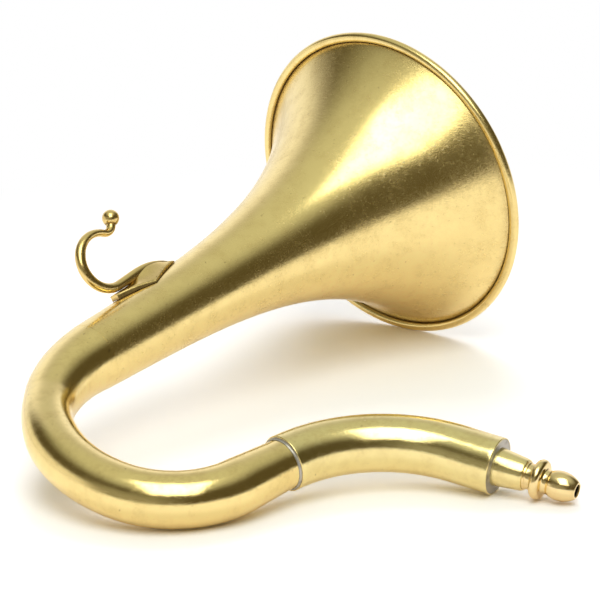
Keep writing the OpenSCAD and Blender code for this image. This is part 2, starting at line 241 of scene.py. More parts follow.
# %% Lathe helper
def turn_profile(mesh, profile, steps, corner=0.12):
    """Spins a closed chain of (radius, z) points about Z, with its corners rounded."""
    verts = [mesh.verts.new((r, 0, z)) for r, z in profile]
    for a, b in zip(verts, verts[1:] + verts[:1]):
        mesh.edges.new((a, b))
    sharp = []
    for before, v, after in zip(verts[-1:] + verts, verts, verts[1:] + verts[:1]):
        bend = (v.co - before.co).angle(after.co - v.co)
        if bend > math.radians(25):
            sharp.append(v)
    if corner:
        bmesh.ops.bevel(
            mesh,
            geom=sharp,
            offset=corner,
            offset_type="OFFSET",
            segments=3,
            profile=0.5,
            affect="VERTICES",
            material=-1,
        )
    bmesh.ops.spin(
        mesh,
        geom=mesh.verts[:] + mesh.edges[:],
        cent=(0, 0, 0),
        axis=(0, 0, 1),
        angle=math.tau,
        steps=steps,
        use_merge=True,
    )


# %% [markdown]
# Every finished piece is laid on the table by one call. It merges doubles, turns the faces
# outwards, smooths the shading except at real edges, and moves the place into the mesh so that
# the object itself sits at the origin.

# %% Finish helper
SHARP_ANGLE = math.radians(40)


def finish_piece(mesh, name, body, material, replaces=(), place=Matrix()):
    """Turns a bmesh in millimetres into a laid piece that rides on a body."""
    bmesh.ops.remove_doubles(mesh, verts=mesh.verts[:], dist=1e-4)
    bmesh.ops.recalc_face_normals(mesh, faces=mesh.faces[:])
    bmesh.ops.transform(mesh, matrix=LAID @ place, verts=mesh.verts[:])
    for face in mesh.faces:
        face.smooth = True
    data = bpy.data.meshes.new(name)
    mesh.to_mesh(data)
    mesh.free()
    data.set_sharp_from_angle(angle=SHARP_ANGLE)
    data.materials.append(material)
    piece = bpy.data.objects.new(name, data)
    bpy.context.scene.collection.objects.link(piece)
    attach(piece, body)
    if replaces:
        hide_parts(*replaces)
    print(name, "has", len(data.polygons), "faces")
    return piece


# %% [markdown]
# Materials are graphs of nodes. Writing them node by node hides what they do, so a small class
# stands for one socket and knows arithmetic: `0.3 + 0.1 * patches` adds the Math nodes itself.
# Every other node is made by one method that takes its type, settings and inputs.


# %% Shader helpers
class Wire:
    """One output socket of a node, with arithmetic."""

    def __init__(self, graph, socket):
        self.graph = graph
        self.socket = socket

    def math(self, operation, *others):
        return self.graph.node("ShaderNodeMath", {"operation": operation}, others)

    def __add__(self, other):
        return self.math("ADD", self, other)

    def __sub__(self, other):
        return self.math("SUBTRACT", self, other)

    def __rsub__(self, other):
        return self.math("SUBTRACT", other, self)

    def __mul__(self, other):
        return self.math("MULTIPLY", self, other)

    __radd__ = __add__
    __rmul__ = __mul__

    def step(self, low, high):
        """0 below low, 1 above high, and smooth between them."""
        settings = {"interpolation_type": "SMOOTHSTEP"}
        return self.graph.node("ShaderNodeMapRange", settings, {0: self, 1: low, 2: high})


class Graph:
    """A material's or the world's node tree."""

    def __init__(self, tree):
        self.tree = tree
        tree.nodes.clear()

    def node(self, kind, settings=None, inputs=(), output=0):
        """Makes a node, sets it up, feeds its inputs and returns one output."""
        made = self.tree.nodes.new(kind)
        for key, value in (settings or {}).items():
            if key == "stops":
                self.set_stops(made.color_ramp, value)
            else:
                setattr(made, key, value)
        pairs = inputs.items() if isinstance(inputs, dict) else enumerate(inputs)
        for key, value in pairs:
            if isinstance(value, Wire):
                self.tree.links.new(value.socket, made.inputs[key])
            else:
                made.inputs[key].default_value = value
        return Wire(self, made.outputs[output]) if made.outputs else None

    @staticmethod
    def set_stops(ramp, stops):
        while len(ramp.elements) < len(stops):
            ramp.elements.new(1)
        for element, (position, colour) in zip(ramp.elements, stops):
            element.position = position
            element.color = (*colour, 1)

    def noise(self, vector, scale, detail=4, roughness=0.55):
        inputs = {"Vector": vector, "Scale": scale, "Detail": detail, "Roughness": roughness}
        return self.node("ShaderNodeTexNoise", {}, inputs)

    def blend(self, amount, first, second):
        """Mixes two colours."""
        settings = {"data_type": "RGBA", "clamp_factor": True}
        return self.node("ShaderNodeMix", settings, {0: amount, 6: first, 7: second}, 2)

    def stretch(self, vector, scale):
        """Scales a vector, which stretches a pattern the other way."""
        return self.node("ShaderNodeMapping", {}, {"Vector": vector, "Scale": scale})

    def bump(self, height, strength, distance):
        inputs = {"Height": height, "Strength": strength, "Distance": distance}
        return self.node("ShaderNodeBump", {}, inputs)


def new_material(name):
    """A node material, and its empty graph."""
    material = bpy.data.materials.new(name)
    material.use_nodes = True
    return material, Graph(material.node_tree)


def close_material(graph, colour, roughness, normal, metallic=1.0):
    """Feeds one surface shader and the output."""
    inputs = {"Base Color": colour, "Roughness": roughness, "Metallic": metallic, "Normal": normal}
    surface = graph.node("ShaderNodeBsdfPrincipled", {}, inputs)
    graph.node("ShaderNodeOutputMaterial", {}, {"Surface": surface})


# %% [markdown]
# Old brass that has been cleaned and handled is satin, not mirror bright. Its tone drifts
# between yellow and olive where it has tarnished, the polish is uneven in patches a few
# millimetres wide, and fine hairlines run along the tube from wiping. The hairlines follow a
# coordinate that is stored in each mesh as if the tube were straight.

# %% Aged brass
BRASS = (0.90, 0.74, 0.34, 1)
BRASS_DULL = (0.60, 0.45, 0.17, 1)
BRASS_BROWN = (0.16, 0.085, 0.03, 1)
RED_BRASS = (0.89, 0.72, 0.38, 1)


def aged_brass(name, base, dull, rough, lines=1.0, along=True):
    """Satin brass with uneven polish, tarnish, hairlines, and painted shade and dirt in hollows."""
    material, g = new_material(name)
    place = g.node("ShaderNodeTexCoord", {}, {}, "Object")
    lay = g.node("ShaderNodeAttribute", {"attribute_name": LAY}, {}, "Vector") if along else place
    grime = g.node("ShaderNodeAttribute", {"attribute_name": PAINTED_SHADE_AND_DIRT}, {}, "Fac")
    clouds = g.noise(place, 40, 4, 0.6).step(0.35, 0.7)
    patches = g.noise(place, 150, 5, 0.65).step(0.40, 0.66)
    mottle = g.noise(place, 700, 4, 0.75).step(0.38, 0.66)
    fibres = g.noise(g.stretch(place, (900, 350, 1500)), 1, 4, 0.8).step(0.42, 0.62)
    hair = g.noise(g.stretch(lay, (3000, 3000, 120)), 1, 4, 0.75)
    cross = g.noise(g.stretch(lay, (260, 260, 2600)), 1, 3, 0.7)
    pits = g.noise(place, 1100, 2, 0.5).step(0.70, 0.78)
    colour = g.blend(clouds * 0.12 + patches * 0.14 + mottle * 0.2 * patches, base, dull)
    # The stored attribute browns the metal: painted shade in creases, bores and undersides, and dirt
    # with painted shade in the bell's groove. The pits are real pits, browned as well.
    colour = g.blend(pits * 0.5 + grime * 0.9, colour, BRASS_BROWN)
    roughness = rough + 0.04 * clouds + 0.05 * patches + 0.09 * fibres * mottle + 0.25 * grime
    height = (hair * 0.55 + cross * 0.45) * lines + fibres * 0.3 + mottle * 0.2 - pits * 0.6
    close_material(g, colour, roughness, g.bump(height, 0.12, 0.00012))
    return material


brass = aged_brass("aged_brass", BRASS, BRASS_DULL, 0.17)
crook_brass = aged_brass("crook_brass", BRASS, BRASS_DULL, 0.12)
sleeve_brass = aged_brass("sleeve_brass", (0.87, 0.76, 0.38, 1), BRASS_DULL, 0.11)
hook_brass = aged_brass("hook_brass", (0.82, 0.64, 0.28, 1), BRASS_DULL, 0.17, 0.2, False)
print("brass materials:", [m.name for m in (brass, crook_brass, sleeve_brass, hook_brass)])

# %% [markdown]
# The mouthpiece and the socket were turned on a lathe and are brighter. Their marks run round
# the axis, so the noise is squeezed along the axis and left wide across it. The mouthpiece is a
# redder brass. The solder is grey tin with a soft, slightly lumpy skin.


# %% Turned brass and solder
def turned_brass(name, base, dull, rough):
    """Bright lathe-turned metal with fine rings round its axis."""
    material, g = new_material(name)
    place = g.node("ShaderNodeTexCoord", {}, {}, "Object")
    lay = g.node("ShaderNodeAttribute", {"attribute_name": LAY}, {}, "Vector")
    rings = g.noise(g.stretch(lay, (60, 60, 9000)), 1, 2, 0.6)
    patches = g.noise(place, 260, 4, 0.6).step(0.4, 0.72)
    grime = g.node("ShaderNodeAttribute", {"attribute_name": PAINTED_SHADE_AND_DIRT}, {}, "Fac")
    # The stored attribute is painted shade: where it is set, the colour goes nearly black.
    colour = g.blend(grime, g.blend(patches * 0.3, base, dull), (0.03, 0.02, 0.015, 1))
    roughness = rough + 0.06 * patches + 0.04 * rings + 0.4 * grime
    close_material(g, colour, roughness, g.bump(rings + patches * 0.5, 0.12, 0.0001))
    return material


def tin_solder():
    """Grey solder, dull and slightly lumpy."""
    material, g = new_material("joint_tin")
    place = g.node("ShaderNodeTexCoord", {}, {}, "Object")
    lumps = g.noise(place, 700, 3, 0.6)
    grime = g.noise(place, 300, 4, 0.6).step(0.45, 0.7)
    colour = g.blend(grime, (0.50, 0.49, 0.47, 1), (0.32, 0.31, 0.30, 1))
    close_material(g, colour, 0.42 + 0.15 * grime, g.bump(lumps, 0.35, 0.0003), 0.85)
    return material


socket_brass = turned_brass("socket_brass", (0.88, 0.76, 0.38, 1), BRASS_DULL, 0.16)
mouth_brass = turned_brass("mouthpiece_brass", RED_BRASS, (0.66, 0.48, 0.21, 1), 0.13)
tin = tin_solder()
print("turned and soldered:", [m.name for m in (socket_brass, mouth_brass, tin)])

# %% [markdown]
# Hand work leaves the tube slightly uneven, which bends the long highlights. A smooth noise
# presses each ring's vertices inwards, by up to a tenth of a millimetre or so. Nothing moves
# outwards, so the piece stays inside the imported model. The same step stores the straightened
# place of every vertex for the hairlines, and how much dirt and painted shade it gets.


# %% Uneven tube helper
def uneven(mesh, loops, rings, travel, depth, scale, shade_and_dirt=None, pinch=None):
    """Presses soft dents of up to depth into swept rings and stores their straight place."""
    lay = mesh.verts.layers.float_vector[LAY]
    grime = mesh.verts.layers.float[PAINTED_SHADE_AND_DIRT]
    for i, (loop, ring, s) in enumerate(zip(loops, rings, travel)):
        centre = ring.translation
        radius = ring.to_scale().x
        turn = ring.inverted()
        for v in loop:
            local = turn @ v.co
            straight = Vector((local.x * radius, local.y * radius, s))
            dent = 0.5 + 0.5 * noise.noise(straight * scale)
            dent = dent * 0.8 + 0.1 + 0.1 * noise.noise(straight * scale * 3)
            press = depth * dent + (pinch(s, local) if pinch else 0)
            v.co = centre + (v.co - centre) * (1 - press / radius)
            v[lay] = straight * MM
            v[grime] = shade_and_dirt[i] if shade_and_dirt else 0


# %% [markdown]
# The bell is one spun sheet. Its outside line runs from the neck to the rim, curls round the
# bead and comes back along the inside. The sheet's edge tucks in behind the bead and leaves
# the thin groove that a rolled rim has. The groove and a thin strip beside it are painted
# brown, as dirt and painted shade.

# %% Bell
BELL_SIDES = 192
FLARE_ROWS = 110
BEAD_ROWS = 26
CROWDING = 1.35
GROOVE_S = 0.36
EDGE_S = GROOVE_S + 0.25
# Dirt and painted shade in the groove: how brown the strip beside it starts, and how fast it fades
GROOVE_SHADE_AND_DIRT = 0.6
SHADE_AND_DIRT_REACH = 0.7
BEAD_FROM = math.radians(-74)
BEAD_TO = math.radians(255)
NUDGE = 0.01

outside = []
for i in range(FLARE_ROWS + 1):
    s = BELL_LEN * (1 - i / FLARE_ROWS) ** CROWDING
    if s > GROOVE_S + 0.3:
        outside.append((s, bell_r(s), GROOVE_SHADE_AND_DIRT * math.exp((GROOVE_S - s) / SHADE_AND_DIRT_REACH)))
outside += [(EDGE_S, bell_r(EDGE_S), 0.15), (GROOVE_S, bell_r(GROOVE_S), 1)]
groove = [(0.02, bell_r(GROOVE_S) + 0.02, 1)]
bead = []
for i in range(BEAD_ROWS + 1):
    a = BEAD_FROM + (BEAD_TO - BEAD_FROM) * i / BEAD_ROWS
    shade_and_dirt = max(0, 1 - i / 3)
    bead.append((BEAD_R * math.cos(a), RIM_CIRCLE_R + BEAD_R * math.sin(a), shade_and_dirt))
inside = []
for i in range(FLARE_ROWS // 2 + 1):
    s = BELL_LEN * (i / (FLARE_ROWS // 2)) ** CROWDING
    slope = (bell_r(s + NUDGE) - bell_r(s)) / NUDGE
    inside.append((s, bell_r(s) - BELL_WALL * math.hypot(1, slope), 0))
path = outside + groove + bead + inside
travel = [s for s, r, shade_and_dirt in path]
bell_rings = [Matrix.Translation((-s, 0, 0)) @ ring_at(0, r) for s, r, shade_and_dirt in path]
mesh = new_mesh()
loops = sweep(mesh, bell_rings, BELL_SIDES)
shade_and_dirt = [share for s, r, share in path]
uneven(mesh, loops, bell_rings, travel, depth=0.10, scale=0.05, shade_and_dirt=shade_and_dirt)
finish_piece(mesh, "horn_bell", "horn", brass, ["bell"])

# %% [markdown]
# The crook carries on from the neck, narrows over its first 27 millimetres and bends twice. Its
# rings stand about 1.2 millimetres apart, which keeps the bends smooth. Its end narrows again to
# enter the sleeve. Bending a tube squeezes its inner side, which is pressed in a little.

# %% Crook
TUBE_SIDES = 96
CROOK_STEP = 1.2

# Each squeezed place: how deep it is, where it is along the tube, and how far it reaches
SQUEEZES = ((0.95, 172, 9), (0.35, 205, 22))
OUTER_SHARE = 0.3

count = round((SPIGOT_S - BELL_LEN) / CROOK_STEP)
travel = [BELL_LEN + (SPIGOT_S - BELL_LEN) * i / count for i in range(count + 1)]
travel += [JOINT_S, JOINT_S + LAP_LEN]
out = [ring_at(s, crook_r(s)) for s in travel]
back = [ring_at(s, crook_r(s) - CROOK_WALL) for s in reversed(travel)]
mesh = new_mesh()
loops = sweep(mesh, out + back, TUBE_SIDES)


def pinch(s, local):
    """How far bending squeezed the tube, mostly on the inner side of its first bend."""
    squeeze = sum(depth * math.exp(-(((s - at) / reach) ** 2)) for depth, at, reach in SQUEEZES)
    return squeeze * max(0, local.y) ** 2 + OUTER_SHARE * squeeze * max(0, -local.y) ** 4


uneven(mesh, loops, out + back, travel + travel[::-1], depth=0.12, scale=0.06, pinch=pinch)
finish_piece(mesh, "horn_crook", "horn", crook_brass, ["crook"])

# %% [markdown]
# The sleeve is a thicker tube, and both of its ends were rounded over with a file. The rounded
# lip is what shows as a bright line at the joint, so it is part of the swept rings: four small
# steps round each corner. The mouth end's face is set back a little inside the lip for solder.

# %% Sleeve
LIP_R = 0.3
SEAT_DEPTH = 0.22
SEAT_STEP = 0.1


def lip(s, into):
    """Rings from the end face round the filed lip; into is the way into the tube's length."""
    turned = [math.radians(a) for a in (90, 67.5, 45, 22.5, 0)]
    return [
        (s + into * LIP_R * (1 - math.sin(a)), SLEEVE_R - LIP_R * (1 - math.cos(a)))
        for a in turned
    ]


count = round((END_S - JOINT_S) / CROOK_STEP)
first, last = JOINT_S + LIP_R, END_S - LIP_R
path = lip(JOINT_S, 1)
path += [(first + (last - first) * i / count, SLEEVE_R) for i in range(1, count)]
path += lip(END_S, -1)[::-1]
seat_s = END_S - SEAT_DEPTH
path += [(seat_s, SLEEVE_R - LIP_R - SEAT_STEP), (seat_s, SLEEVE_BORE_R)]
path += [(last + (first - last) * i / count, SLEEVE_BORE_R) for i in range(count + 1)]
path += [(JOINT_S, SLEEVE_BORE_R)]
sleeve_rings = [ring_at(s, r) for s, r in path]
mesh = new_mesh()
loops = sweep(mesh, sleeve_rings, TUBE_SIDES)
uneven(mesh, loops, sleeve_rings, [s for s, r in path], depth=0.08, scale=0.08)
finish_piece(mesh, "horn_sleeve", "horn", sleeve_brass, ["sleeve"])

# %% [markdown]
# Turned pieces store the same straight coordinate, so that lathe marks run round them.


# %% Turned pieces helper
TURN_STEPS = 72


def store_turned(mesh):
    """Stores each vertex's own place, in metres, as the straight coordinate."""
    lay = mesh.verts.layers.float_vector[LAY]
    for v in mesh.verts:
        v[lay] = v.co * MM


print("steps round a turned piece:", TURN_STEPS)

# %% [markdown]
# Two seams are soldered. At the joint the tin forms a hollow fillet in the corner between crook
# and sleeve. At the mouth end it fills the gap round the socket, and sinks a little in its middle
# as it cools. Solder runs all the way round, so both are turned profiles.

# %% Solder
FILLET_LEN = 0.65
FILLET_H = 0.5
END_SOLDER_T = 1
SOCKET_BASE_R = 5.35
GAP = 0.03
SKIN_T = 0.2
SKIN_MARGIN = 0.13
SAG = 0.13

mesh = new_mesh()
curve = [(SPIGOT_R, -FILLET_LEN)]
for i in range(1, 6):
    a = math.radians(18 * i)
    curve.append((SPIGOT_R + FILLET_H * (1 - math.cos(a)), -FILLET_LEN * (1 - math.sin(a))))
turn_profile(mesh, curve + [(SPIGOT_R, 0)], TURN_STEPS, 0)
finish_piece(mesh, "joint_fillet", "horn", tin, ["joint_solder"], station(JOINT_S))

mesh = new_mesh()
outer, inner = SLEEVE_BORE_R - GAP, SOCKET_BASE_R + GAP
wide = SLEEVE_R - LIP_R - SKIN_MARGIN
curve = [(inner, -END_SOLDER_T), (outer, -END_SOLDER_T), (outer, -SKIN_T), (wide, -SKIN_T)]
curve += [(wide, -0.04), ((wide + inner) / 2, -SAG), (inner + 0.3, -0.1), (inner, 0)]
turn_profile(mesh, curve, TURN_STEPS, 0)
finish_piece(mesh, "end_fillet", "horn", tin, ["end_solder"], MOUTH_END)

# %% [markdown]
# The socket is a short cone with a chamfered tip. Its inner tube, which holds the reed, is
# part of the same turning.

# %% Socket
SOCKET_LEN = 8.5
SOCKET_BORE_R = 3.9
SOCKET_TIP_R = SOCKET_BORE_R + 0.45
CHAMBER_R = SOCKET_BORE_R + 0.6
CHAMBER_LEN = 24.5
CHAMBER_LIP = 1
SHALLOT_R = 2.2

mesh = new_mesh()
profile = [
    (SHALLOT_R + 0.6, -CHAMBER_LEN),
    (CHAMBER_R, -CHAMBER_LEN),
    (CHAMBER_R, -END_SOLDER_T),
    (SOCKET_BASE_R, -END_SOLDER_T),
    (SOCKET_BASE_R, 0),
    (SOCKET_TIP_R + 0.12, SOCKET_LEN - 0.75),
    (SOCKET_TIP_R - 0.12, SOCKET_LEN - 0.08),
    (SOCKET_TIP_R - 0.25, SOCKET_LEN),
    (SOCKET_BORE_R, SOCKET_LEN),
    (SOCKET_BORE_R, CHAMBER_LIP - CHAMBER_LEN),
    (SHALLOT_R + 0.6, CHAMBER_LIP - CHAMBER_LEN),
]
turn_profile(mesh, profile, TURN_STEPS, 0.08)
store_turned(mesh)
finish_piece(mesh, "horn_socket", "horn", socket_brass, ["socket"], MOUTH_END)

# %% [markdown]
# The mouthpiece is turned in one piece. Behind the olive-shaped tip is a narrow waist and a
# rounded flange, which is the finger hold for pulling it out. The blowing hole runs through.

# %% Mouthpiece
STEM_IN = 12
STEM_OUT = 2.3
FLANGE_R = 5.6
FLANGE_T = 3
WAIST_R = 3.35
WAIST_LEN = 1.4
OLIVE_R = 4.1
OLIVE_LEN = 8
NOSE_R = 2.3
BLOW_R = 1.8
UNSHADED_BORE = 0.6

stem_r = SOCKET_BORE_R - GAP
flange_z = SOCKET_LEN + STEM_OUT
waist_z = flange_z + FLANGE_T
olive_z = waist_z + WAIST_LEN
edge = FLANGE_T / 2
tip_z = olive_z + OLIVE_LEN


def olive_r(z, half, end_r):
    """Radius of the olive at z from its middle, on an arc that falls to end_r at half."""
    drop = OLIVE_R - end_r
    arc = (half**2 + drop**2) / (2 * drop)
    return OLIVE_R - arc + math.sqrt(arc**2 - z**2)


profile = [(BLOW_R, SOCKET_LEN - STEM_IN), (stem_r, SOCKET_LEN - STEM_IN)]
profile += [(stem_r, SOCKET_LEN + 0.5), (stem_r - 0.25, SOCKET_LEN + 0.75)]
profile += [(stem_r - 0.25, flange_z - 0.35), (stem_r - 0.1, flange_z - 0.1)]
profile += [(stem_r + 0.15, flange_z)]
for i in range(-8, 9):
    a = math.radians(90 * i / 8)
    profile.append((FLANGE_R - edge + edge * math.cos(a), flange_z + edge + edge * math.sin(a)))
profile += [(WAIST_R + 0.25, waist_z + 0.05), (WAIST_R + 0.05, waist_z + 0.3)]
profile += [(WAIST_R, waist_z + 0.6), (WAIST_R, olive_z - 0.4)]
back_l, front_l = 0.4 * OLIVE_LEN, 0.6 * OLIVE_LEN
for i in range(13):
    z = -back_l * (1 - i / 12)
    profile.append((olive_r(z, back_l, WAIST_R), olive_z + back_l + z))
for i in range(1, 21):
    z = front_l * i / 20
    profile.append((olive_r(z, front_l, NOSE_R), olive_z + back_l + z))
profile += [(BLOW_R, tip_z), (BLOW_R, tip_z - UNSHADED_BORE)]
mesh = new_mesh()
turn_profile(mesh, profile, TURN_STEPS, 0.1)
store_turned(mesh)
# Painted shade: the bore behind the tip is painted nearly black and rough, as shade in the hole.
grime = mesh.verts.layers.float[PAINTED_SHADE_AND_DIRT]
for v in mesh.verts:
    bore = math.hypot(v.co.x, v.co.y) < BLOW_R + 0.02 and v.co.z < tip_z - UNSHADED_BORE / 2
    v[grime] = 1 if bore else 0
finish_piece(mesh, "olive_mouthpiece", "mouthpiece", mouth_brass, ["mouthpiece"], MOUTH_END)

# %% [markdown]
# The hook is forged from wire. Its foot is hammered flat along the plate, the wire sweeps round
# and back, and it ends in a ball. All of it is one sweep: the rings are flattened by giving
# them different radii up and across, and the last rings follow the ball's outline.

# %% Hook
HOOK_S = BELL_LEN - 20.5
HOOK_A = math.radians(52)
WIRE_R = 1.6
BALL_R = 2.5
SWEEP_R = 8.25
RETURN_R = 2.9
PLATE_T = 1.75
PLATE_GAP = 0.05
FOOT_LEN = 21
FOOT_Y = PLATE_GAP + PLATE_T + 0.05
FOOT_H = 0.9
FOOT_TIP_H = 0.12
WIRE_W = 0.95
WIRE_END = 0.86
SWEEP_FROM, SWEEP_TO, RETURN_A = -90, -304, 92
FOOT_STEPS, SWEEP_STEPS, RETURN_STEPS, BALL_STEPS = 36, 72, 24, 30
BACK_REACH = 22.7
BACK_RISE = 9
BACK_TURNS = 0.8
WIRE_SIDES = 32
# How many rings of the foot get painted shade on their lower side
SHADED_RINGS = FOOT_STEPS + 4

AT_HOOK = (
    Matrix.Rotation(HOOK_A, 4, "X")
    @ Matrix.Translation((-HOOK_S, bell_r(HOOK_S), 0))
    @ Matrix.Rotation(NECK_TAPER, 4, "Z")
)


def polar(r, degrees):
    return Vector((r * math.cos(math.radians(degrees)), r * math.sin(math.radians(degrees))))


def neck_rise(x):
    """How far the flare lifts the neck's surface over the straight taper."""
    s = HOOK_S - x * math.cos(NECK_TAPER)
    return (bell_r(s) - bell_r(HOOK_S) - SLOPE * (HOOK_S - s)) * math.cos(NECK_TAPER)


def filed(x):
    """How far the foot's back was left high along its middle and filed down at its tip."""
    u = max(0, x / BACK_REACH)
    return BACK_RISE * u * u * (1 - u / BACK_TURNS)


# Each place on the route: x along the neck, y out of it, half height and half width
sweep_c = Vector((0.4, FOOT_Y + FOOT_H * WIRE_R + SWEEP_R))
route = []
for i in range(FOOT_STEPS):
    f = i / FOOT_STEPS
    rise = math.sin(math.pi / 2 * f)
    x = sweep_c.x + FOOT_LEN * (1 - f)
    high = WIRE_R * (FOOT_TIP_H + (FOOT_H - FOOT_TIP_H) * rise)
    back = filed(x - sweep_c.x)
    high += max(0, back / 2)
    y = FOOT_Y + neck_rise(x) + high + min(0, back)
    route.append((x, y, high, WIRE_R * (0.35 + 0.6 * rise)))
for i in range(SWEEP_STEPS + 1):
    f = i / SWEEP_STEPS
    at = sweep_c + polar(SWEEP_R, SWEEP_FROM + (SWEEP_TO - SWEEP_FROM) * f)
    high = WIRE_R * (FOOT_H + 0.1 * min(1, 3 * f) - 0.36 * max(0, 2.4 * f - 1.4))
    route.append((at.x, at.y, high, WIRE_R * WIRE_W))
return_c = sweep_c + polar(SWEEP_R + RETURN_R, SWEEP_TO)
for i in range(1, RETURN_STEPS + 1):
    f = i / RETURN_STEPS
    at = return_c + polar(RETURN_R, SWEEP_TO + 180 + RETURN_A * f)
    route.append((at.x, at.y, WIRE_R * (0.64 + 0.22 * f), WIRE_R * (WIRE_W - 0.09 * f)))
ahead = (Vector(route[-1][:2]) - Vector(route[-2][:2])).normalized()
ball_c = Vector(route[-1][:2]) + ahead * (BALL_R - 0.4)
neck_angle = 180 - math.degrees(math.asin(WIRE_R * WIRE_END / BALL_R))
for i in range(BALL_STEPS + 1):
    along, high = polar(BALL_R, neck_angle * (1 - i / (BALL_STEPS + 0.4)))
    at = ball_c + ahead * along
    route.append((at.x, at.y, high, high))


def wire_ring(i):
    """Matrix of ring i of the hook's route."""
    before, after = route[max(i - 1, 0)], route[min(i + 1, len(route) - 1)]
    x, y, high, wide = route[i]
    facing = math.atan2(after[1] - before[1], after[0] - before[0])
    turned = Matrix.Rotation(facing, 4, "Z") @ Matrix.Rotation(math.pi / 2, 4, "Y")
    return Matrix.Translation((x, y, 0)) @ turned @ Matrix.Diagonal((wide, high, 1, 1))


mesh = new_mesh()
loops = sweep(mesh, [wire_ring(i) for i in range(len(route))], WIRE_SIDES, closed=False)
# Painted shade: the crease where the wire meets the ball, and the foot's lower side facing the
# plate, are painted brown.
grime = mesh.verts.layers.float[PAINTED_SHADE_AND_DIRT]
for i, loop in enumerate(loops):
    for v in loop:
        v[grime] = max(0, 1 - abs(i - (len(route) - BALL_STEPS)) / 2.5)
        low = route[i][1] - v.co.y
        if i < SHADED_RINGS and low > 0.25 * route[i][2]:
            v[grime] = 0.7
finish_piece(mesh, "horn_hook", "horn", hook_brass, ["hook"], AT_HOOK)

# %% [markdown]
# The plate is a thick shield, forged and filed, and soldered down along the neck. Its outline
# is a kite. It starts as a flat outline that is cut into strips, gets its thickness and a
# rounded upper edge, and is then bent: the underside lies on the neck, and the top is a dome
# that thins towards the corners. A ridge along its middle runs up to the back of the foot.

# %% Hook plate
PLATE_LEN = 25.7
PLATE_CUTS = 28
NARROW_S = HOOK_S + 3
WIDE_S = NARROW_S - 12.2
TIP_S = NARROW_S - PLATE_LEN
TIP_HALF_W = 0.7
PLATE_HALF_W = 5.6
PLATE_TOP_R = 7.5
RIDGE_HALF_W = 2.2
RIDGE_FROM = 0.12
RIDGE_RAMP = 0.4
CORNER_T = 0.3

outline = [
    (-TIP_S, TIP_HALF_W),
    (-WIDE_S, PLATE_HALF_W),
    (-NARROW_S, WIRE_R),
    (-NARROW_S, -WIRE_R),
    (-WIDE_S, -PLATE_HALF_W),
    (-TIP_S, -TIP_HALF_W),
]
mesh = new_mesh()
mesh.faces.new([mesh.verts.new((x, y, 0)) for x, y in outline])
strips = (((0, 1, 0), 2 * PLATE_HALF_W, -PLATE_HALF_W), ((1, 0, 0), PLATE_LEN, -NARROW_S))
for i in range(1, PLATE_CUTS):
    for flat, run, spot in strips:
        bmesh.ops.bisect_plane(
            mesh,
            geom=mesh.verts[:] + mesh.edges[:] + mesh.faces[:],
            plane_co=Vector(flat) * (spot + run * i / PLATE_CUTS),
            plane_no=flat,
        )
top = bmesh.ops.extrude_face_region(mesh, geom=mesh.faces[:])["geom"]
lifted = [g for g in top if isinstance(g, bmesh.types.BMVert)]
bmesh.ops.translate(mesh, vec=(0, 0, 1), verts=lifted)
bmesh.ops.recalc_face_normals(mesh, faces=mesh.faces[:])
rim = [
    e
    for e in mesh.edges
    if all(abs(v.co.z - 1) < 1e-6 for v in e.verts) and e.calc_face_angle(0) > 1
]
bmesh.ops.bevel(
    mesh,
    geom=rim,
    offset=0.4,
    offset_type="OFFSET",
    segments=3,
    profile=0.5,
    affect="EDGES",
    material=-1,
)


def ridge_rise(s):
    """Height of the plate's middle ridge over its dome, where it runs up to the foot's back."""
    x = max(0, HOOK_S - s - sweep_c.x)
    rise = math.sin(math.pi / 2 * max(0, 1 - x / FOOT_LEN))
    foot = 2 * WIRE_R * (FOOT_TIP_H + (FOOT_H - FOOT_TIP_H) * rise)
    blend = min(1, max(0, (x / BACK_REACH - RIDGE_FROM) / RIDGE_RAMP))
    return max(0, foot + filed(x) - 0.25) * blend * blend * (3 - 2 * blend)


def half_width(s):
    """Half the plate's outline width at a place along the neck."""
    if s < WIDE_S:
        return TIP_HALF_W + (PLATE_HALF_W - TIP_HALF_W) * (s - TIP_S) / (WIDE_S - TIP_S)
    return PLATE_HALF_W + (WIRE_R - PLATE_HALF_W) * (s - WIDE_S) / (NARROW_S - WIDE_S)


# Painted shade: the plate's underside, which lies on the neck, is painted brown.
grime = mesh.verts.layers.float[PAINTED_SHADE_AND_DIRT]
for v in mesh.verts:
    s, across, lift = -v.co.x, v.co.y, v.co.z
    low = math.sqrt((bell_r(s) + PLATE_GAP) ** 2 - across**2)
    dome_y = bell_r(s) + PLATE_GAP + PLATE_T - PLATE_TOP_R
    high = dome_y + math.sqrt(PLATE_TOP_R**2 - across**2)
    high += ridge_rise(s) * math.exp(-((across / RIDGE_HALF_W) ** 2))
    edge = CORNER_T + (1 - CORNER_T) * min(1, max(0, (s - TIP_S) / (WIDE_S - TIP_S + 6)))
    tip = min(1, max(0, (s - TIP_S) / 5))
    edge = 1 - (1 - edge) * min(1, (across / half_width(s)) ** 2)
    thin = min(edge, CORNER_T + (1 - CORNER_T) * math.sin(math.pi / 2 * tip))
    v.co = Vector((v.co.x, low + (high - low) * lift * thin, across))
    v[grime] = 1 if lift < 0.1 else 0
finish_piece(
    mesh, "hook_shield", "horn", hook_brass, ["hook_plate"], Matrix.Rotation(HOOK_A, 4, "X")
)

# %% [markdown]
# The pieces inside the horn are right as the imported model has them. They only need a finish.

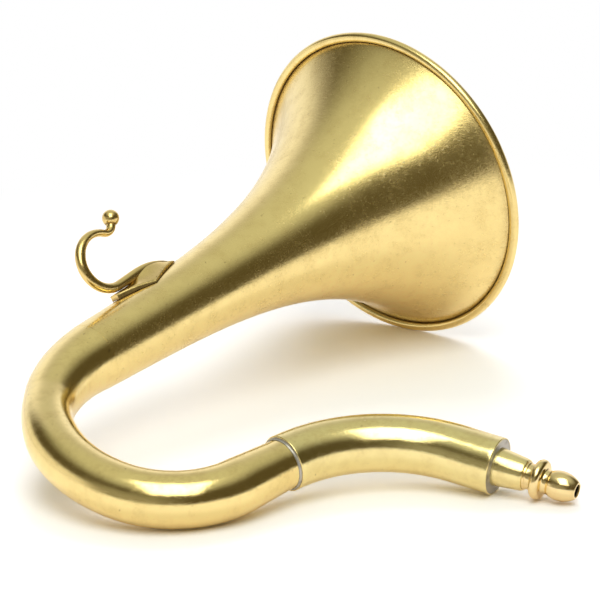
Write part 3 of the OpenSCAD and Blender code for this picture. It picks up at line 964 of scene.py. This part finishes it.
# %% Inner pieces
inner_brass = aged_brass("inner_brass", (0.80, 0.62, 0.28, 1), BRASS_DULL, 0.26, 0.4, False)
reed_brass = aged_brass("reed_brass", (0.90, 0.74, 0.36, 1), BRASS_DULL, 0.20, 0.6, False)
finishes = {"rim_wire": hook_brass, "tongue": reed_brass, "reed_band": reed_brass}
for name in ("rim_wire", "end_plug", "reed_block", "shallot", "reed_wedge", "reed_band", "tongue"):
    slots = bpy.data.objects[name].data.materials
    slots.clear()
    slots.append(finishes.get(name, inner_brass))
print("inner pieces finished:", len(finishes), "in their own brass, the others in", inner_brass.name)

# %% [markdown]
# The horn lies in a small studio: a white table, two soft lamps and a dim room. Polished metal
# shows its surroundings, so the even gold of the tubes' lower halves is the table. The table has
# one white for the light that it gives back, one for the camera and one for reflections. For the
# camera its far part turns into pure white, so that no horizon shows.

# %% Table
TABLE_NEAR = 0.42
TABLE_FAR = 2.4
TABLE_HALF_WIDTH = 1.6
TABLE_WHITE = (0.93, 0.90, 0.86, 1)
TABLE_SEEN = (1.20, 1.24, 1.44, 1)
TABLE_MIRRORED = (1.16, 1.12, 1.20, 1)
FADE_FROM, FADE_TO = 0.17, 0.33

mesh = bmesh.new()
bmesh.ops.create_grid(mesh, x_segments=1, y_segments=1, size=0.5)
size = Matrix.Diagonal((TABLE_NEAR + TABLE_FAR, 2 * TABLE_HALF_WIDTH, 1, 1))
shift = Matrix.Translation(((TABLE_FAR - TABLE_NEAR) / 2, 0, 0))
away = Matrix.Rotation(math.atan2(CAMERA_LOOKS.y, CAMERA_LOOKS.x), 4, "Z")
bmesh.ops.transform(mesh, matrix=away @ shift @ size, verts=mesh.verts[:])
data = bpy.data.meshes.new("table")
mesh.to_mesh(data)
mesh.free()
table = bpy.data.objects.new("table", data)
bpy.context.scene.collection.objects.link(table)
material, g = new_material("table_white")
paint = g.node("ShaderNodeBsdfDiffuse", {}, {"Color": TABLE_WHITE})
seen = g.node("ShaderNodeBsdfDiffuse", {}, {"Color": TABLE_SEEN})
mirrored = g.node("ShaderNodeBsdfDiffuse", {}, {"Color": TABLE_MIRRORED})
white = g.node("ShaderNodeEmission", {}, {"Color": (1, 1, 1, 1), "Strength": 1.0})
camera_ray = g.node("ShaderNodeLightPath", {}, {}, "Is Camera Ray")
glossy_ray = g.node("ShaderNodeLightPath", {}, {}, "Is Glossy Ray")
place = g.node("ShaderNodeTexCoord", {}, {}, "Object")
reach = g.node("ShaderNodeVectorMath", {"operation": "LENGTH"}, (place,), "Value")
near = g.node("ShaderNodeMixShader", {}, {0: glossy_ray, 1: paint, 2: mirrored})
near = g.node("ShaderNodeMixShader", {}, {0: camera_ray, 1: near, 2: seen})
far = camera_ray * reach.step(FADE_FROM, FADE_TO)
shown = g.node("ShaderNodeMixShader", {}, {0: far, 1: near, 2: white})
g.node("ShaderNodeOutputMaterial", {}, {"Surface": shown})
data.materials.append(material)
print("table in m:", round(TABLE_NEAR + TABLE_FAR, 2), "by", 2 * TABLE_HALF_WIDTH)

# %% [markdown]
# The main lamp hangs high above the camera and gives the long highlights. A weaker one behind the
# horn gives the soft shadow in front of it. Reflections leave that one out, because its image
# would add a second bright line along the neck.


# %% Soft light
def softbox(name, azimuth, height_angle, distance, size, power, colour):
    """A soft rectangular lamp that faces the horn from a direction given in degrees."""
    flat, high = math.radians(azimuth), math.radians(height_angle)
    level = math.cos(high)
    toward = Vector((math.cos(flat) * level, math.sin(flat) * level, math.sin(high)))
    lamp_data = bpy.data.lights.new(name, "AREA")
    lamp_data.shape = "RECTANGLE"
    lamp_data.size, lamp_data.size_y = size
    lamp_data.energy = power
    lamp_data.color = colour
    lamp = bpy.data.objects.new(name, lamp_data)
    lamp.location = toward * distance
    lamp.rotation_euler = toward.to_track_quat("Z", "Y").to_euler()
    bpy.context.scene.collection.objects.link(lamp)
    print(name, "stands at", [round(v, 2) for v in lamp.location], "in m")
    return lamp


softbox("front_softbox", -139, 57, 1.15, (0.72, 0.95), 6.8, (1.0, 0.97, 0.82))
back_light = softbox("back_softbox", 40, 50, 1.2, (0.6, 0.6), 4, (1.0, 0.98, 0.92))
back_light.visible_glossy = False

# %% [markdown]
# The room is painted by direction: a dark middle, a lighter ceiling, a white wall behind the
# horn, a grey side and pale strips low down. Its dark middle makes the dark bands on the tubes.
# The camera sees plain white in its place.

# %% Room
ROOM_DARK = (0.10, 0.08, 0.037, 1)
ROOM_TOP = (0.66, 0.66, 0.52, 1)
WALL_WHITE = (1.10, 1.07, 1.04, 1)
LOW_WHITE = (1.00, 0.94, 0.82, 1)
SIDE_GREY = (0.34, 0.32, 0.24, 1)

world = bpy.data.worlds.new("room")
world.use_nodes = True
bpy.context.scene.world = world
g = Graph(world.node_tree)
way = g.node("ShaderNodeTexCoord", {}, {}, "Generated")
east = g.node("ShaderNodeSeparateXYZ", {}, (way,), "X")
north = g.node("ShaderNodeSeparateXYZ", {}, (way,), "Y")
up = g.node("ShaderNodeSeparateXYZ", {}, (way,), "Z")
azimuth = north.math("ARCTAN2", north, east) * (180 / math.pi)


def between(start, end, soft=12):
    """1 for directions from start to end, in degrees of azimuth, with soft edges."""
    return azimuth.step(start - soft, start + soft) * (1 - azimuth.step(end - soft, end + soft))


colour = g.blend(up.step(0.55, 0.95), ROOM_DARK, ROOM_TOP)
side = (1 - azimuth.step(-165, -120)) + azimuth.step(140, 165)
colour = g.blend(side * (1 - up.step(0.3, 0.6)), colour, SIDE_GREY)
low = between(85, 152) * (1 - up.step(0.18, 0.36)) + between(-28, 85) * (1 - up.step(0.02, 0.2))
colour = g.blend(low, colour, LOW_WHITE)
wall = between(2, 86) * (1 - up.step(0.45, 0.95))
colour = g.blend(wall, colour, WALL_WHITE)
room = g.node("ShaderNodeBackground", {}, {0: colour, 1: 1.0})
backdrop = g.node("ShaderNodeBackground", {}, {0: (1, 1, 1, 1), 1: 1.0})
seen = g.node("ShaderNodeLightPath", {}, {}, "Is Camera Ray")
shown = g.node("ShaderNodeMixShader", {}, {0: seen, 1: room, 2: backdrop})
g.node("ShaderNodeOutputWorld", {}, {0: shown})
bpy.context.scene.view_settings.view_transform = "Standard"
print("room:", len(world.node_tree.nodes), "nodes")
